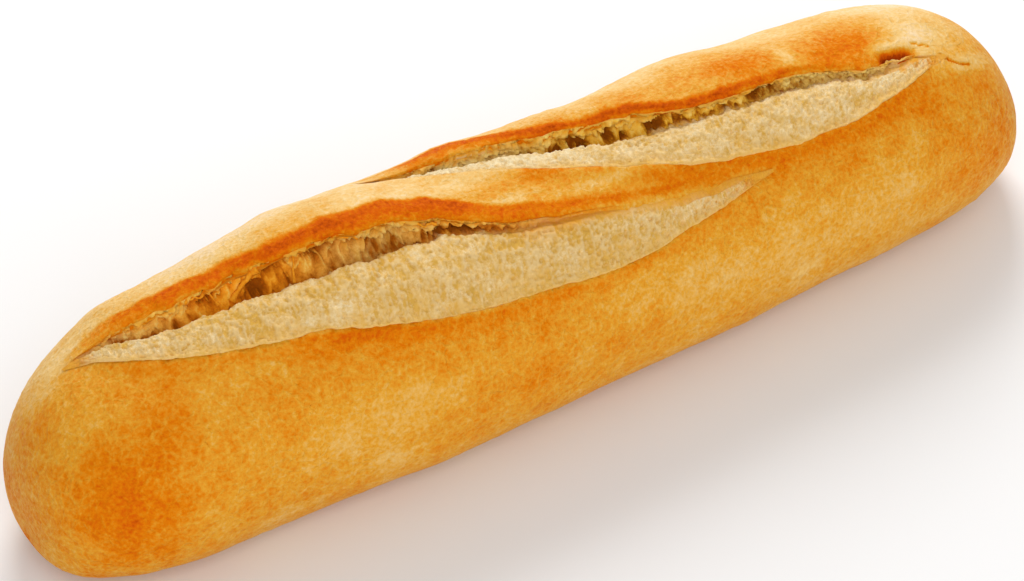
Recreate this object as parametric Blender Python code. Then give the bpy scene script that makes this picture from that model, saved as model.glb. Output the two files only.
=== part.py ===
"""A demi-baguette: one loaf of bread whose two slashes have opened in the oven.

The loaf lies along X on its flat base. Its origin is on the floor, under the middle of the loaf.
Along it, x runs from the left tip to the right tip. Around it, an angle runs from 0 at the widest
line of the front, over the top, to pi at the widest line of the back, and on under the base.
Each slash is a bed of torn crumb that slopes up from its front rim, a slot behind the bed, and an
ear of crust that stands over the slot.
"""

from dataclasses import dataclass

import bmesh
import bpy
import numpy as np

# Driving dimensions, in metres.
LENGTH = 0.260
WIDTH = 0.0676
HEIGHT = 0.0535

# The loaf's form, as shares of those dimensions and as exponents.
WAIST_HEIGHT = 0.42  # of the widest line, along the middle of the loaf
TIP_HEIGHT = 0.19  # of that line at the two tips
BASE_CUT = 0.04  # how much of the round underside the tray has flattened
BASE_SQUARENESS = 2.6  # 2 is an ellipse, more is squarer
LEFT_BLUNTNESS = 3.86
RIGHT_BLUNTNESS = 6.57
LEFT_ROUNDNESS = 2.99
RIGHT_ROUNDNESS = 2.62
TAPER = 0.06  # the left half is this much fatter than the middle, and the right half thinner
PINCH = 0.049  # how much the loaf narrows in the middle
SWAY = -0.0006  # metres that the middle line swings to either side
BOW = 0.0011  # metres that both ends are bent towards the front

# The mesh: rings along the loaf, and rows of vertices in each band of the section.
RINGS = 92
BASE_FRONT_ROWS = 11
STEP_ROWS = 1
BED_ROWS = 6
WALL_ROWS = 2
ROLL_ROWS = 2
BRIDGE_ROWS = 4
BASE_BACK_ROWS = 15
LEAST_BAND = 0.014  # radians between two features where a slash has closed

CRUST_COLOUR = (0.74, 0.38, 0.09, 1.0)
CRUST_ROUGHNESS = 0.55


@dataclass
class Slash:
    """One cut in the crust. Lengths are in metres, and every tuple holds points along x."""

    rim: tuple  # (x, section angle in degrees) of the front rim
    slot: tuple  # (x, section angle in degrees) of the slot, at the back of the bed
    ear: tuple  # (x, how far the ear has torn open, from 0 to 1)
    depth: float  # of the slot below the crust
    lip: float  # how far behind the slot the ear's edge stands
    roll: float  # from that edge to the ear's crest
    rise: float  # of the crest above the crust
    lean: float  # how far the edge hangs forward


SLASHES = (
    Slash(
        rim=(
            (-0.114, 109),
            (-0.107, 92.5),
            (-0.100, 79.5),
            (-0.085, 67),
            (-0.060, 54.5),
            (-0.035, 42),
            (-0.010, 36.5),
            (0.010, 34),
            (0.030, 40),
            (0.049, 46),
        ),
        slot=(
            (-0.114, 110.5),
            (-0.105, 105),
            (-0.097, 95.5),
            (-0.080, 88.5),
            (-0.062, 82.6),
            (-0.050, 79.2),
            (-0.030, 76.8),
            (-0.014, 66.5),
            (0.003, 60.5),
            (0.020, 53),
            (0.049, 47),
        ),
        ear=(
            (-0.112, 0),
            (-0.100, 0.5),
            (-0.090, 0.75),
            (-0.062, 1),
            (-0.040, 0.9),
            (-0.020, 0.35),
            (0.012, 0),
        ),
        depth=0.0044,
        lip=0.0050,
        roll=0.0030,
        rise=0.0033,
        lean=0.0013,
    ),
    Slash(
        rim=(
            (-0.037, 117), (-0.017, 99), (0.003, 83), (0.020, 69.2), (0.035, 59.5),
            (0.050, 54.3), (0.072, 51.3), (0.088, 56), (0.099, 61.5), (0.107, 65.5),
        ),
        slot=(
            (-0.037, 118.5), (-0.020, 111.7), (-0.005, 106.5), (0.010, 97), (0.025, 89),
            (0.040, 81.7), (0.055, 79.2), (0.066, 79), (0.075, 74.8), (0.085, 70),
            (0.099, 69), (0.107, 66.5),
        ),
        ear=(
            (-0.037, 0),
            (-0.016, 0.8),
            (0.004, 1),
            (0.026, 0.95),
            (0.040, 0.6),
            (0.062, 0.6),
            (0.103, 0),
        ),
        depth=0.0034,
        lip=0.0032,
        roll=0.0024,
        rise=0.0028,
        lean=0.0012,
    ),
)
WIDE_OPEN = 0.007  # metres from the rim to the slot at which a bed is fully open
CLOSING = 0.006  # metres over which a slash closes at each end
EAR_FADE = 0.020  # metres behind the crest over which the crust sinks back
RIM_RISE = 0.0008
RIM_FADE = 0.005
BED_STEP = 0.0018  # from the front rim down to the bed
STEP_WIDTH = 0.0013
BED_BULGE = 0.0016

# Soft swells and dents of the crust: x, section angle in degrees, reach along x, reach around, height.
SWELLS = (
    (-0.053, 100, 0.020, 40, 0.0034),
    (0.045, 108, 0.018, 40, 0.0030),
    (-0.077, -10, 0.020, 40, -0.0024),
    (-0.001, -10, 0.035, 40, 0.0011),
)


def smooth_step(value, low, high):
    """0 up to low, 1 from high, and a smooth S between them."""
    share = np.clip((value - low) / (high - low), 0, 1)
    return share * share * (3 - 2 * share)


def section(x):
    """The loaf's section at x: half its width, and the heights of its waist, crown and underside."""
    along = 2 * x / LENGTH
    bluntness = np.where(along < 0, LEFT_BLUNTNESS, RIGHT_BLUNTNESS)
    roundness = np.where(along < 0, LEFT_ROUNDNESS, RIGHT_ROUNDNESS)
    end = (1 - np.minimum(np.abs(along), 1) ** bluntness) ** (1 / roundness)
    size = end * (1 - TAPER * along) * (1 - PINCH * (1 - along * along))
    return {
        "middle": SWAY * np.sin(np.pi * along) - BOW * along**2,
        "half_width": WIDTH / 2 * size,
        "waist": HEIGHT * (TIP_HEIGHT + (WAIST_HEIGHT - TIP_HEIGHT) * size),
        "crown": HEIGHT * (1 - WAIST_HEIGHT) * size,
        "underside": HEIGHT * (WAIST_HEIGHT + BASE_CUT) * size,
    }


def surface(x, angle, out=0.0, back=0.0):
    """The loaf's points at x and angle, moved out along the normal and back along the section.

    Above the waist a section is half an ellipse, and below it half a superellipse cut by the floor.
    """
    form = section(x)
    across, up = np.cos(angle), np.sin(angle)
    power = np.where(up < 0, 2 / BASE_SQUARENESS, 1)
    y = form["middle"] - form["half_width"] * np.sign(across) * np.abs(across) ** power
    height = np.where(up < 0, -form["underside"], form["crown"]) * np.abs(up) ** power
    normal = np.stack([-form["crown"] * across, form["half_width"] * up])
    normal /= np.maximum(np.linalg.norm(normal, axis=0), 1e-9)
    y = y + out * normal[0] + back * normal[1]
    z = form["waist"] + height + out * normal[1] - back * normal[0]
    return np.stack([x, y, np.maximum(z, 0)], axis=-1)


def radius_at(x):
    """The section's mean radius at x, which turns lengths around the loaf into angles."""
    form = section(x)
    return np.maximum((form["half_width"] + form["crown"]) / 2, 0.004)


def through(points, x):
    """A smooth curve through points (Catmull-Rom slopes in x), level beyond its ends."""
    px, py = np.array(points, dtype=float).T
    x = np.clip(x, px[0], px[-1])
    slopes = np.gradient(py, px)
    i = np.clip(np.searchsorted(px, x) - 1, 0, len(px) - 2)
    step = px[i + 1] - px[i]
    t = (x - px[i]) / step
    return (
        py[i] * (1 + 2 * t) * (1 - t) ** 2
        + slopes[i] * step * t * (1 - t) ** 2
        + py[i + 1] * t * t * (3 - 2 * t)
        - slopes[i + 1] * step * t * t * (1 - t)
    )


def openness(slash, x):
    """How far the slash has opened at x, for its bed and for its ear, each from 0 to 1."""
    start, end = slash.rim[0][0], slash.rim[-1][0]
    inside = smooth_step(x, start, start + CLOSING) * (1 - smooth_step(x, end - CLOSING, end))
    gap = np.radians(through(slash.slot, x) - through(slash.rim, x)) * radius_at(x)
    return smooth_step(gap, 0, WIDE_OPEN) * inside, np.clip(through(slash.ear, x), 0, 1)


def features(slash, x):
    """The section angles of the slash's front rim, bed edge, slot, ear edge and ear crest at x."""
    bed, ear = openness(slash, x)
    radius = radius_at(x)
    rim = np.radians(through(slash.rim, x))
    slot = np.radians(through(slash.slot, x))
    edge = rim + STEP_WIDTH * bed / radius
    lip = slot + slash.lip * ear / radius
    crest = lip + slash.roll * np.sqrt(ear) / radius
    return rim, edge, slot, lip, crest


def in_order(angles):
    """The same angles, each at least LEAST_BAND after the one before it."""
    ordered = [angles[0]]
    for angle in angles[1:]:
        ordered.append(np.maximum(angle, ordered[-1] + LEAST_BAND))
    return ordered


def row_angles(x):
    """The section angle of every row at x, with a row on each feature of both slashes."""
    left, right = (features(slash, x) for slash in SLASHES)
    knots = in_order([*left, *right])
    slash_rows = [STEP_ROWS, BED_ROWS, WALL_ROWS, ROLL_ROWS]
    bands = [BASE_FRONT_ROWS, *slash_rows, BRIDGE_ROWS, *slash_rows, BASE_BACK_ROWS]
    knots = [np.full_like(x, -np.pi / 2), *knots, np.full_like(x, 1.5 * np.pi)]
    rows = [
        low + (high - low) * step / count
        for low, high, count in zip(knots, knots[1:], bands)
        for step in range(count)
    ]
    return np.stack(rows)


def relief(slash, x, angle):
    """How far the slash moves the surface out along its normal, and back across it.

    Where the slash has no ear, its bed comes up level with the crust behind it.
    """
    bed, ear = openness(slash, x)
    radius = radius_at(x)
    rim, edge, slot, lip, crest = features(slash, x)
    on_step = np.clip((angle - rim) / np.maximum(edge - rim, 1e-6), 0, 1)
    on_bed = np.clip((angle - edge) / np.maximum(slot - edge, 1e-6), 0, 1)
    on_wall = np.clip((angle - slot) / np.maximum(lip - slot, 1e-6), 0, 1)
    on_roll = np.clip((angle - lip) / np.maximum(crest - lip, 1e-6), 0, 1)
    beyond = np.maximum(angle - crest, 0) * radius
    ahead = np.maximum(rim - angle, 0) * radius
    healed = (1 - ear) * smooth_step(on_bed, 0.5, 1)
    bed_height = (RIM_RISE * (1 - on_step) - BED_STEP * on_step * (1 - healed)) * bed
    bed_height += BED_BULGE * np.sin(np.pi * on_bed) * bed
    bed_height -= slash.depth * ear * smooth_step(on_bed, 0.72, 1)
    lip_height = slash.rise * 0.55 * ear
    wall_height = bed_height + (lip_height - bed_height) * on_wall
    roll_height = lip_height + (slash.rise * ear - lip_height) * np.sin(np.pi / 2 * on_roll)
    back_height = slash.rise * ear * (1 - smooth_step(beyond, 0, EAR_FADE))
    out = np.where(angle <= slot, bed_height, np.where(angle <= lip, wall_height, roll_height))
    out = np.where(angle > crest, back_height, out)
    out = np.where(angle < rim, RIM_RISE * bed * (1 - smooth_step(ahead, 0, RIM_FADE)), out)
    back = -slash.lean * ear * on_wall * (1 - on_roll)
    return out, back


def swells(x, angle):
    """How far the soft swells move the surface out: the sum of one bell curve for each."""
    total = np.zeros_like(x)
    for middle, turn, along, around, height in SWELLS:
        apart = (angle - np.radians(turn) + np.pi) % (2 * np.pi) - np.pi
        total += height * np.exp(-(((x - middle) / along) ** 2) - (apart / np.radians(around)) ** 2)
    return total


def shape_loaf(loaf):
    """Moves the vertices of a sphere, whose poles lie along X, onto the loaf."""
    ball = np.array([vertex.co for vertex in loaf.verts])
    ring = np.arccos(np.clip(-ball[:, 0], -1, 1)) / np.pi
    turn = np.arctan2(-ball[:, 1], -ball[:, 2]) % (2 * np.pi)
    x = -LENGTH / 2 * np.cos(np.pi * ring)
    rows = row_angles(x)
    row = np.rint(turn / (2 * np.pi) * len(rows)).astype(int) % len(rows)
    angle = rows[row, np.arange(len(x))]
    out, back = swells(x, angle), np.zeros_like(x)
    for slash in SLASHES:
        moved = relief(slash, x, angle)
        out += moved[0]
        back += moved[1]
    for vertex, place in zip(loaf.verts, surface(x, angle, out, back)):
        vertex.co = place


def crust_material():
    """Baked crust: golden brown and matt."""
    material = bpy.data.materials.new("crust")
    material.use_nodes = True
    shader = material.node_tree.nodes["Principled BSDF"]
    shader.inputs["Base Color"].default_value = CRUST_COLOUR
    shader.inputs["Roughness"].default_value = CRUST_ROUGHNESS
    shader.inputs["Metallic"].default_value = 0.0
    return material


def make_loaf(collection):
    """The whole loaf as one closed solid."""
    rows = len(row_angles(np.zeros(1)))
    mesh = bpy.data.meshes.new("loaf")
    form = bmesh.new()
    bmesh.ops.create_uvsphere(form, u_segments=rows, v_segments=RINGS, radius=1.0)
    for vertex in form.verts:
        vertex.co = (vertex.co.z, vertex.co.y, -vertex.co.x)
    shape_loaf(form)
    form.to_mesh(mesh)
    form.free()
    mesh.shade_smooth()
    mesh.materials.append(crust_material())
    loaf = bpy.data.objects.new("loaf", mesh)
    collection.objects.link(loaf)
    return loaf


def main():
    for thing in list(bpy.data.objects):
        bpy.data.objects.remove(thing)
    collection = bpy.data.collections.new("baguette")
    bpy.context.scene.collection.children.link(collection)
    make_loaf(collection)


main()
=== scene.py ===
"""A demi-baguette on a pale floor: a golden crust, open beds of crumb and torn ears.

Along the loaf x runs from the left tip to the right tip. Around it an angle runs from 0 at the widest
line of the front, over the top, to pi at the widest line of the back, and on under the base.
"""

import math

import bpy
import numpy as np
from mathutils import Matrix, Vector


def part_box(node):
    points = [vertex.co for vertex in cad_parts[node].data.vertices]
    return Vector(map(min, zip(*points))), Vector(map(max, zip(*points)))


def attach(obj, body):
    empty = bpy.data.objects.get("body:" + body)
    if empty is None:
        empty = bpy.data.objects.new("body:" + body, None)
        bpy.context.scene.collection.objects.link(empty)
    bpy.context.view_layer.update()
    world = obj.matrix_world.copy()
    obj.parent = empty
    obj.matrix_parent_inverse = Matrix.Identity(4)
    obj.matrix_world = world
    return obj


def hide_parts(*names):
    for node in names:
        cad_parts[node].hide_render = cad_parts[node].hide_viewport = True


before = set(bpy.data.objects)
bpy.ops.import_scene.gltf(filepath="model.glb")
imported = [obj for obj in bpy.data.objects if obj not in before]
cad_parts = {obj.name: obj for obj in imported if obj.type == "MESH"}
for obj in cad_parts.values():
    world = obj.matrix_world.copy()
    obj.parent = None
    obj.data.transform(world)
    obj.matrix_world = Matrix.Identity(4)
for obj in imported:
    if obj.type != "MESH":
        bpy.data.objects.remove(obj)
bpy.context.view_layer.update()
BODY = "root"
loaf_low, loaf_high = (np.array(corner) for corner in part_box("loaf"))
LENGTH = float(loaf_high[0] - loaf_low[0])

# ------------------------------------------------------------------ the loaf's form, in metres

WIDTH = 0.0672  # a little under the solid's, so that the crust's unevenness stays inside it
HEIGHT = 0.0535  # without the swells and the ears
WAIST_HEIGHT = 0.42  # of the widest line, along the middle of the loaf, as a share of the height
TIP_HEIGHT = 0.19  # of that line at the two tips
BASE_CUT = 0.04  # how much of the round underside the tray has flattened
BASE_SQUARENESS = 2.6  # 2 is an ellipse, more is squarer
LEFT_BLUNTNESS, RIGHT_BLUNTNESS = 3.86, 6.57
LEFT_ROUNDNESS, RIGHT_ROUNDNESS = 2.99, 2.62
TAPER = 0.06  # the left half is this much fatter than the middle, and the right half thinner
PINCH = 0.049  # how much the loaf narrows in the middle
SWAY = -0.0006  # how far the middle line swings to either side
BOW = 0.0011  # how far both ends are bent towards the front
LEAST_RADIUS = 0.004  # taken at the tips, where the section shrinks to a point
LEAST_BAND = 0.014  # radians between two lines of the slashes where a slash has closed
WIDE_OPEN = 0.007  # the width at which a slash counts as fully open
CLOSING = 0.006  # the length over which it closes at its two ends
EAR_FADE = 0.020  # the length over which the crust sinks back behind an ear
RIM_RISE, RIM_FADE = 0.0008, 0.005  # how high the crust swells before a rim, and over what length
STEP_WIDTH = 0.0013  # from the rim down to the bed
GROOVE = 0.0026  # depth of the crust's groove, which the crumb fills
RECESS = 0.0050  # how far the groove runs back under the ear
SLOT_CLEARANCE = 0.0012  # how far the groove's floor lies under the slot
BASE_SMOOTHING = 0.8  # the share of the crust's unevenness that the underside loses

# Soft swells and dips of the dough: x, section angle in degrees, reach along in metres, reach around in
# degrees, and height in metres.
SWELLS = (
    (-0.053, 100, 0.020, 40, 0.0034),
    (0.045, 108, 0.018, 40, 0.0030),
    (-0.077, -10, 0.020, 40, -0.0024),
    (-0.001, -10, 0.035, 40, 0.0011),
    (-0.0985, 138, 0.0065, 26, 0.0012),
    (-0.0565, 136, 0.0050, 24, 0.0009),
    (-0.0400, 134, 0.0080, 26, 0.0006),
    (-0.1260, 140, 0.0080, 36, -0.0008),
)

# Rows and columns of the meshes.
CRUST_COLUMNS, CRUMB_COLUMNS = 420, 860
FRONT_ROWS, BRIDGE_ROWS, BACK_ROWS = 60, 20, 74  # before, between and behind the two slashes
SLASH_ROWS = (6, 8, 14, 8)  # on a slash's step, bed, wall and ear
BACK_SPREAD = 1.35  # the power by which the rows of the back spread out
THREAD_COLUMNS, THREAD_ROWS = 25, 8

# Each slash is a set of curves along x, each given by a few points, and some single values in metres.
# rim and slot: section angles in degrees. ear: how far it has torn open, from 0 to 1. brown: how wide the
# brown band on the ear is, in metres. baked: how brown that band is. scorched: how browned the crust is
# before the rim. torn: the share of the orange or yellow tones on the torn wall, where the rest is the grey
# olive that paints the shade on its lower part.
# warmth: how golden the crumb of the bed is.
# hollows: x, share of the way up the torn wall, reach along, reach up as a share of the wall, depth.
# depth: of the slot below the crust. lip: how far behind the slot the ear's edge stands. roll: from that
# edge to the ear's crest. rise: of the crest above the crust. lean: how far the edge hangs forward.
# tip_fades: the lengths over which the crumb turns golden at the left and right tips.
# seed: where its noise starts.
LEFT_SLASH = dict(
    rim=(
        (-0.114, 109), (-0.107, 92.5), (-0.100, 79.5), (-0.085, 67), (-0.060, 54.5),
        (-0.035, 42), (-0.010, 36.5), (0.010, 34), (0.030, 40), (0.049, 46),
    ),
    slot=(
        (-0.114, 110.5), (-0.105, 105), (-0.097, 95.5), (-0.080, 88.5), (-0.062, 82.6), (-0.050, 79.2),
        (-0.030, 76.8), (-0.014, 66.5), (0.003, 60.5), (0.020, 53), (0.049, 47),
    ),
    ear=(
        (-0.112, 0), (-0.100, 0.5), (-0.090, 0.75), (-0.062, 1), (-0.040, 0.9), (-0.020, 0.35), (0.012, 0),
    ),
    brown=(
        (-0.112, 0.0026), (-0.095, 0.0041), (-0.080, 0.0024), (-0.062, 0.0020), (-0.045, 0.0031),
        (-0.030, 0.0048), (-0.015, 0.0040), (0.010, 0.0026), (0.040, 0.0034),
    ),
    baked=(
        (-0.112, 0.2), (-0.100, 0.62), (-0.085, 0.84), (-0.060, 1), (-0.030, 1), (-0.008, 0.6), (0.049, 0.35),
    ),
    hollows=(
        (-0.1080, 0.5, 0.0030, 0.50, 0.0010), (-0.1010, 0.3, 0.0024, 0.30, 0.0014),
        (-0.0955, 0.2, 0.0020, 0.25, 0.0012), (-0.0890, 0.2, 0.0018, 0.20, 0.0014),
        (-0.0850, 0.6, 0.0014, 0.20, 0.0022), (-0.0805, 0.5, 0.0026, 0.22, 0.0042),
        (-0.0762, 0.8, 0.0013, 0.13, 0.0034), (-0.0745, 0.9, 0.0012, 0.12, 0.0026),
        (-0.0715, 0.3, 0.0022, 0.20, 0.0040), (-0.0665, 0.6, 0.0024, 0.25, 0.0038),
        (-0.0630, 0.3, 0.0015, 0.20, 0.0022), (-0.0572, 0.6, 0.0038, 0.22, 0.0046),
        (-0.0510, 0.4, 0.0030, 0.20, 0.0018), (-0.0440, 0.3, 0.0034, 0.22, 0.0018),
        (-0.0385, 0.3, 0.0025, 0.20, 0.0016), (-0.0268, 0.2, 0.0052, 0.20, 0.0042),
        (-0.0205, 0.1, 0.0020, 0.20, 0.0024), (-0.0180, 0.3, 0.0014, 0.30, 0.0018),
        (-0.0148, 0.3, 0.0010, 0.30, 0.0014), (-0.0126, 0.2, 0.0008, 0.30, 0.0012),
    ),
    scorched=((-0.112, 0.05), (-0.095, 0.15), (-0.030, 0.32), (0.000, 0.20), (0.049, 0.12)),
    depth=0.0044, lip=0.0050, roll=0.0030, rise=0.0026, lean=0.0013,
    torn=(
        (-0.114, 0.5), (-0.095, 0.65), (-0.084, 0.95), (-0.068, 1), (-0.056, 0.75), (-0.045, 0.45),
        (-0.028, 0.8),
    ),
    warmth=(
        (-0.114, 0.46), (-0.098, 0.46), (-0.084, 0.72), (-0.066, 0.58), (-0.050, 0.66), (-0.030, 0.62),
        (-0.012, 0.74), (0.010, 0.72), (0.030, 0.54), (0.049, 0.48),
    ),
    tip_fades=(0.007, 0.026), seed=11,
)
RIGHT_SLASH = dict(
    rim=(
        (-0.037, 117), (-0.017, 99), (0.003, 83), (0.020, 69.2), (0.035, 59.5),
        (0.050, 54.3), (0.072, 51.3), (0.088, 56), (0.099, 61.5), (0.107, 65.5),
    ),
    slot=(
        (-0.037, 118.5), (-0.020, 111.7), (-0.005, 106.5), (0.010, 96.3), (0.025, 88),
        (0.040, 81.5), (0.055, 79.2), (0.066, 79), (0.075, 74.8), (0.085, 70),
        (0.099, 69), (0.107, 66.5),
    ),
    ear=(
        (-0.037, 0), (-0.016, 0.8), (0.004, 1), (0.026, 0.95), (0.040, 0.5), (0.062, 0.55), (0.103, 0),
    ),
    brown=(
        (-0.037, 0.0030), (-0.020, 0.0040), (-0.006, 0.0030), (0.003, 0.0016), (0.010, 0.0008),
        (0.025, 0.0012), (0.035, 0.0008), (0.048, 0.0010), (0.060, 0.0008), (0.075, 0.0008),
        (0.104, 0.0010),
    ),
    baked=(
        (-0.037, 0.6), (-0.022, 0.95), (0.010, 0.92), (0.046, 0.86), (0.056, 0.68), (0.066, 0.60),
        (0.074, 0.2), (0.104, 0.1),
    ),
    hollows=(
        (-0.0180, 0.7, 0.0016, 0.35, 0.0020), (0.0020, 0.2, 0.0025, 0.25, 0.0016),
        (0.0090, 0.2, 0.0020, 0.25, 0.0020), (0.0135, 0.3, 0.0022, 0.30, 0.0030),
        (0.0200, 0.4, 0.0022, 0.34, 0.0034), (0.0245, 0.3, 0.0020, 0.25, 0.0026),
        (0.0310, 0.4, 0.0022, 0.40, 0.0034), (0.0365, 0.3, 0.0018, 0.30, 0.0026),
        (0.0410, 0.3, 0.0014, 0.30, 0.0020), (0.0490, 0.1, 0.0030, 0.20, 0.0014),
        (0.0575, 0.5, 0.0045, 0.40, 0.0034), (0.0660, 0.5, 0.0011, 0.40, 0.0016),
        (0.0830, 0.5, 0.0010, 0.30, 0.0012), (0.0910, 0.5, 0.0018, 0.60, 0.0040),
        (0.0960, 0.5, 0.0022, 0.60, 0.0040),
    ),
    scorched=((-0.037, 0), (0.004, 0), (0.020, 0.20), (0.060, 0.34), (0.104, 0.25)),
    depth=0.0034, lip=0.0032, roll=0.0024, rise=0.0028, lean=0.0012,
    torn=(
        (-0.037, 0.1), (-0.004, 0.2), (0.008, 0.75), (0.030, 0.95), (0.048, 0.85), (0.066, 0.55),
        (0.104, 0.3),
    ),
    warmth=((-0.037, 0.26), (-0.004, 0.28), (0.020, 0.56), (0.045, 0.58), (0.080, 0.46), (0.104, 0.40)),
    tip_fades=(0.006, 0.012), seed=29,
)
SLASHES = (LEFT_SLASH, RIGHT_SLASH)

# Threads of crumb that still hang across the torn wall: x and share of the way up, at both ends, and
# how thick each is, as a multiple of THREAD_RADIUS.
LEFT_THREADS = (
    (-0.0865, 0.95, -0.0820, 0.80, 1.0),
    (-0.0812, 0.95, -0.0796, 0.25, 0.8),
    (-0.0768, 0.25, -0.0696, 0.80, 2.3),
    (-0.0632, 0.15, -0.0612, 0.90, 1.0),
    (-0.0520, 0.80, -0.0470, 0.65, 1.0),
    (-0.0340, 0.85, -0.0290, 0.60, 1.0),
)

# Browner (above 0) and paler (below 0) patches of the crust: x, section angle in degrees, reach along and
# reach around in metres, and the change.
# The paler patches on the top, from about 100 degrees round, partly paint the sheen there as well.
PATCHES = (
    (-0.122, 88, 0.010, 0.012, -0.14), (-0.112, 24, 0.017, 0.016, 0.10),
    (-0.121, 6, 0.010, 0.016, 0.18), (-0.070, 10, 0.022, 0.007, -0.10),
    (-0.040, 16, 0.016, 0.006, -0.08), (0.020, 18, 0.022, 0.006, -0.12), (0.052, 8, 0.018, 0.009, -0.12),
    (0.108, 16, 0.012, 0.016, 0.03), (-0.042, 95, 0.014, 0.005, -0.24), (-0.020, 94, 0.014, 0.005, -0.24),
    (-0.006, 85, 0.012, 0.0022, 0.10), (-0.012, 78, 0.012, 0.0017, -0.22), (0.010, 70, 0.012, 0.0015, -0.16),
    (0.056, 95, 0.007, 0.0036, 0.18), (0.0675, 90, 0.0022, 0.0045, -0.22), (0.084, 87, 0.010, 0.0050, 0.16),
    (0.092, 79, 0.006, 0.0014, -0.26), (0.101, 80, 0.005, 0.005, -0.26), (0.111, 60, 0.008, 0.0020, -0.22),
    (0.040, 112, 0.024, 0.010, -0.04), (-0.070, 112, 0.040, 0.010, -0.18), (0.108, 100, 0.014, 0.014, -0.26),
    (0.066, 222, 0.030, 0.010, 0.06), (-0.060, 160, 0.030, 0.012, 0.06), (0.020, 150, 0.024, 0.010, -0.08),
    (-0.055, 50, 0.014, 0.0018, 0.08), (0.085, 46, 0.012, 0.003, 0.06), (-0.004, 73, 0.020, 0.0020, -0.10),
    (0.080, 14, 0.012, 0.008, -0.12), (0.068, 106, 0.010, 0.006, -0.14), (-0.096, 118, 0.007, 0.006, 0.12),
    (-0.028, 127, 0.012, 0.006, -0.06), (0.104, 76, 0.006, 0.006, -0.10), (-0.008, 110, 0.008, 0.005, -0.18),
)

# The nook at the right slash's end, torn open twice: x, section angle in degrees, reach along, reach around
# and depth in metres. Then the cracks that run on from it: points (x, section angle in degrees).
NOOKS = ((0.0900, 70.6, 0.0022, 0.0020, 0.0026), (0.0945, 72.4, 0.0030, 0.0013, 0.0020))
NOOK_RAGGEDNESS, NOOK_WAVE = 0.0007, 0.0022  # how far its outline wavers, and the size of each wave
CRACKS = (
    ((0.1045, 67.5), (0.1062, 62.8), (0.1085, 59.8), (0.1112, 58.6)),
    ((0.0995, 77.5), (0.1012, 75.0), (0.1030, 73.5)),
)
CRACK_DEPTH = 0.0004

# Burst blisters, which leave pale rings: x, section angle in degrees, radius in metres.
BLISTERS = ((-0.0779, 51, 0.0018), (0.0440, 30, 0.0014), (-0.030, 190, 0.0016))

# How brown the crust is, from 0 for pale to 1 for the brownest colour.
USUAL_BAKE, MOST_BAKE = 0.575, 1.1
TOP_PALENESS_AND_SHEEN = 0.24  # how much paler the top of the back is: partly a paler bake, partly a painted sheen of the light from behind
DARKEST = 0.93  # the bake of the brownest part of an ear
KEPT_UNEVENNESS = 0.4  # of the bake there
LOW_PALENESS, STREAK_PALENESS = 0.05, 0.08  # how much less baked the crust is near the floor, and in streaks
STREAK_STRETCH = np.array([0.3, 1, 1])
BASE_BROWNING, CRACK_BROWNING, NOOK_BROWNING = 0.08, 0.45, 0.5
NOOK_BROWN_DEPTH = 0.0012  # the depth from which a nook is fully browned
PALE_LINE = 0.14
BROWN_EDGE = 0.0011  # the length over which an ear's brown band ends
EDGE_WIDTH = 0.0004  # of the ear's torn edge


def smooth_step(value, low, high):
    """0 up to low, 1 from high, and a smooth S between them."""
    share = np.clip((value - low) / (high - low), 0, 1)
    return share * share * (3 - 2 * share)


def bell(value, middle, reach):
    """A bell curve, 1 in the middle."""
    return np.exp(-(((value - middle) / reach) ** 2))


def section(x):
    """The section at x: the middle's y, half its width, and its waist, crown and underside heights."""
    along = 2 * x / LENGTH
    bluntness = np.where(along < 0, LEFT_BLUNTNESS, RIGHT_BLUNTNESS)
    roundness = np.where(along < 0, LEFT_ROUNDNESS, RIGHT_ROUNDNESS)
    end = (1 - np.minimum(np.abs(along), 1) ** bluntness) ** (1 / roundness)
    size = end * (1 - TAPER * along) * (1 - PINCH * (1 - along * along))
    middle = SWAY * np.sin(np.pi * along) - BOW * along**2
    waist = HEIGHT * (TIP_HEIGHT + (WAIST_HEIGHT - TIP_HEIGHT) * size)
    crown, underside = HEIGHT * (1 - WAIST_HEIGHT) * size, HEIGHT * (WAIST_HEIGHT + BASE_CUT) * size
    return middle, WIDTH / 2 * size, waist, crown, underside


def surface(x, angle, out=0.0, back=0.0):
    """Half an ellipse above the waist and half a superellipse below it, cut by the floor.

    A point moves out along the section's normal and back along its tangent, towards the rear.
    """
    middle, half_width, waist, crown, underside = section(x)
    across, up = np.cos(angle), np.sin(angle)
    power = np.where(up < 0, 2 / BASE_SQUARENESS, 1)
    y = middle - half_width * np.sign(across) * np.abs(across) ** power
    height = np.where(up < 0, -underside, crown) * np.abs(up) ** power
    normal = np.stack([-crown * across, half_width * up])
    normal /= np.maximum(np.linalg.norm(normal, axis=0), 1e-9)
    y = y + out * normal[0] + back * normal[1]
    z = waist + height + out * normal[1] - back * normal[0]
    return np.stack([x, y, np.maximum(z, 0)], axis=-1)


def radius_at(x):
    """The mean of the section's half width and crown, which turns lengths around the loaf into angles."""
    _, half_width, _, crown, _ = section(x)
    return np.maximum((half_width + crown) / 2, LEAST_RADIUS)


def through(points, x):
    """A smooth curve through points (Catmull-Rom slopes in x), level beyond its ends."""
    px, py = np.array(points, dtype=float).T
    x = np.clip(x, px[0], px[-1])
    slopes = np.gradient(py, px)
    i = np.clip(np.searchsorted(px, x) - 1, 0, len(px) - 2)
    step = px[i + 1] - px[i]
    t = (x - px[i]) / step
    return (
        py[i] * (1 + 2 * t) * (1 - t) ** 2
        + slopes[i] * step * t * (1 - t) ** 2
        + py[i + 1] * t * t * (3 - 2 * t)
        - slopes[i + 1] * step * t * t * (1 - t)
    )


def openness(slash, x):
    """How far the slash has opened at x, for its bed and for its ear, each from 0 to 1."""
    start, end = slash["rim"][0][0], slash["rim"][-1][0]
    inside = smooth_step(x, start, start + CLOSING) * (1 - smooth_step(x, end - CLOSING, end))
    gap = np.radians(through(slash["slot"], x) - through(slash["rim"], x)) * radius_at(x)
    return smooth_step(gap, 0, WIDE_OPEN) * inside, np.clip(through(slash["ear"], x), 0, 1)


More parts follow.
